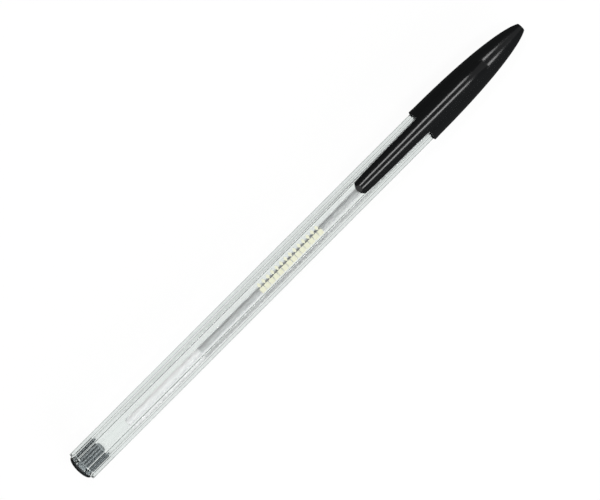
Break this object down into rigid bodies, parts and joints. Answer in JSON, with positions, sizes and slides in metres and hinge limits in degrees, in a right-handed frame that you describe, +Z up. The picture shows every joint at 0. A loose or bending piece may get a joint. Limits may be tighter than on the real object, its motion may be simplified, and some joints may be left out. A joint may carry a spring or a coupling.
{
  "type": "ballpoint pen",
  "caption": "Capped stick ballpoint pen: a clear hexagonal barrel shows its ink tube, with a domed end plug and a round cap whose sprung clip lies along the barrel.",
  "frame": {"origin": "below the middle of the capped pen, in the plane that the cap's mouth touches, at the bottom centre of the bounding box", "axes": "+X along the pen from the end plug to the cap's crown, +Z up through the clip, +Y to its left"},
  "size_m": [0.149, 0.009, 0.0107],
  "materials": {
    "clear_plastic": "clear, polished",
    "black_plastic": "black, satin gloss",
    "milky_plastic": "translucent, satin",
    "ink": "wet black paste",
    "brass": "turned, bright",
    "nickel_silver": "turned, bright",
    "tungsten_carbide": "ground, bright",
    "cream_print": "hot-stamped foil, satin"
  },
  "bodies": {
    "pen_body": {"barrel": "clear_plastic", "end_plug": "black_plastic", "ink_tube": "milky_plastic", "ink": "ink", "tip_holder": "brass", "writing_point": "nickel_silver"},
    "ball": {"ball": "tungsten_carbide"},
    "cap": {"cap": "black_plastic"},
    "clip": {"clip": "black_plastic"}
  },
  "joints": [
    {"name": "cap_slide", "type": "slide", "parent": "pen_body", "child": "cap", "axis": [1, 0, 0], "range_m": [0, 0.05]},
    {"name": "clip_flex", "type": "hinge", "parent": "cap", "child": "clip", "pos_m": [0.0425, 0, 0.00998], "axis": [0, 1, 0], "range_deg": [0, 5], "stiffness_Nm_per_rad": 0.5},
    {"name": "ball_roll", "type": "hinge", "parent": "pen_body", "child": "ball", "pos_m": [0.0625, 0, 0.00454], "axis": [0, 1, 0], "continuous": true}
  ]
}
